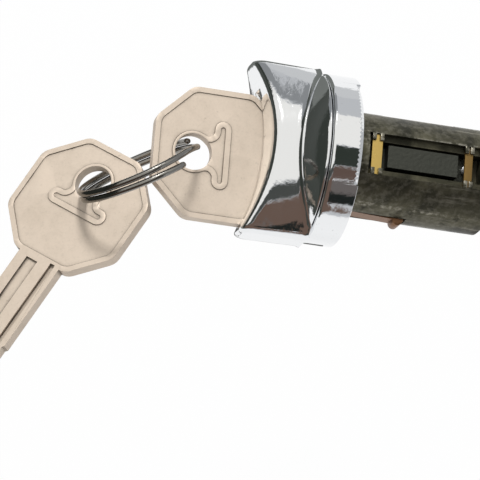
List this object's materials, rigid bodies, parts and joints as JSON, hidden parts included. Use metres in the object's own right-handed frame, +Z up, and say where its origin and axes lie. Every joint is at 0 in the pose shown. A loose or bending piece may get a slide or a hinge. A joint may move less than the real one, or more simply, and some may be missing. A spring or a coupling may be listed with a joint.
{
  "type": "ignition lock cylinder with keys",
  "caption": "Side-bar ignition lock: winged chrome knob and bezel on a die-cast barrel with tumblers, a key in the lock and a spare key on a split ring.",
  "frame": {"origin": "on the barrel's axis at the back face of the bezel ring", "axes": "+X along the barrel to the rear, Y in the plane of the key and the knob's ears, +Z up through the side bar"},
  "size_m": [0.1125, 0.0735, 0.034],
  "materials": {
    "chrome": "bright chrome plating",
    "zinc": "dull weathered die-cast zinc",
    "spring_steel": "plain spring steel",
    "brass": "bright brass",
    "dull_brass": "tarnished brass",
    "blued_bar": "dark blue-grey bar",
    "copper_leaf": "copper-brown spring leaf",
    "nickel_silver": "satin nickel silver",
    "ring_wire": "drawn steel wire",
    "spring_bronze": "phosphor bronze wire"
  },
  "bodies": {
    "bezel": {"bezel_ring": "chrome"},
    "lock": {"knob": "chrome", "lock_barrel": "zinc", "retaining_clip": "spring_steel", "spring_washer": "spring_steel", "front_bar_retainer": "brass", "rear_bar_retainer": "dull_brass", "tumbler_cover": "dull_brass", "front_bar_spring": "spring_steel", "rear_bar_spring": "spring_steel", "tumbler_spring_1": "spring_bronze", "tumbler_spring_2": "spring_bronze", "tumbler_spring_3": "spring_bronze", "tumbler_spring_4": "spring_bronze", "tumbler_spring_5": "spring_bronze", "tumbler_spring_6": "spring_bronze"},
    "side_bar": {"side_bar": "blued_bar"},
    "leaf": {"retaining_spring": "copper_leaf"},
    "key": {"ignition_key": "nickel_silver"},
    "ring": {"key_ring": "ring_wire"},
    "spare": {"spare_key": "nickel_silver"},
    "tumbler_1": {"tumbler_1": "brass"},
    "tumbler_2": {"tumbler_2": "brass"},
    "tumbler_3": {"tumbler_3": "brass"},
    "tumbler_4": {"tumbler_4": "brass"},
    "tumbler_5": {"tumbler_5": "brass"},
    "tumbler_6": {"tumbler_6": "brass"}
  },
  "joints": [
    {"name": "lock_turn", "type": "hinge", "parent": "bezel", "child": "lock", "pos_m": [0, 0, 0], "axis": [1, 0, 0], "range_deg": [-40, 80]},
    {"name": "key_slide", "type": "slide", "parent": "lock", "child": "key", "axis": [-1, 0, 0], "range_m": [0, 0.038]},
    {"name": "side_bar_slide", "type": "slide", "parent": "lock", "child": "side_bar", "axis": [0, 0, 1], "range_m": [0, 0.0009], "deforming": ["front_bar_spring", "rear_bar_spring"]},
    {"name": "leaf_flex", "type": "hinge", "parent": "lock", "child": "leaf", "pos_m": [0.0009, -0.0095, 0], "axis": [0, 0, 1], "range_deg": [0, 2.5], "stiffness_Nm_per_rad": 1},
    {"name": "ring_swing", "type": "hinge", "parent": "key", "child": "ring", "pos_m": [-0.0299, -0.0007, 0], "axis": [0, 0, 1], "range_deg": [-50, 12]},
    {"name": "spare_swing", "type": "hinge", "parent": "ring", "child": "spare", "pos_m": [-0.048, -0.0104, -0.0087], "axis": [-0.5, 0.159, 0.8513], "range_deg": [-30, 6]},
    {"name": "tumbler_1_drop", "type": "slide", "parent": "lock", "child": "tumbler_1", "axis": [0, -1, 0], "range_m": [0, 0.0007], "deforming": ["tumbler_spring_1"]},
    {"name": "tumbler_2_drop", "type": "slide", "parent": "lock", "child": "tumbler_2", "axis": [0, -1, 0], "range_m": [0, 0.0007], "deforming": ["tumbler_spring_2"]},
    {"name": "tumbler_3_drop", "type": "slide", "parent": "lock", "child": "tumbler_3", "axis": [0, -1, 0], "range_m": [0, 0.0007], "deforming": ["tumbler_spring_3"]},
    {"name": "tumbler_4_drop", "type": "slide", "parent": "lock", "child": "tumbler_4", "axis": [0, -1, 0], "range_m": [0, 0.0007], "deforming": ["tumbler_spring_4"]},
    {"name": "tumbler_5_drop", "type": "slide", "parent": "lock", "child": "tumbler_5", "axis": [0, -1, 0], "range_m": [0, 0.0007], "deforming": ["tumbler_spring_5"]},
    {"name": "tumbler_6_drop", "type": "slide", "parent": "lock", "child": "tumbler_6", "axis": [0, -1, 0], "range_m": [0, 0.0007], "deforming": ["tumbler_spring_6"]}
  ],
  "couplings": [
    {"joint": "side_bar_slide", "follows": "key_slide", "ratio": 0.0236},
    {"joint": "tumbler_1_drop", "follows": "key_slide", "ratio": 0.0184},
    {"joint": "tumbler_2_drop", "follows": "key_slide", "ratio": 0.0184},
    {"joint": "tumbler_3_drop", "follows": "key_slide", "ratio": 0.0184},
    {"joint": "tumbler_4_drop", "follows": "key_slide", "ratio": 0.0184},
    {"joint": "tumbler_5_drop", "follows": "key_slide", "ratio": 0.0184},
    {"joint": "tumbler_6_drop", "follows": "key_slide", "ratio": 0.0184}
  ]
}
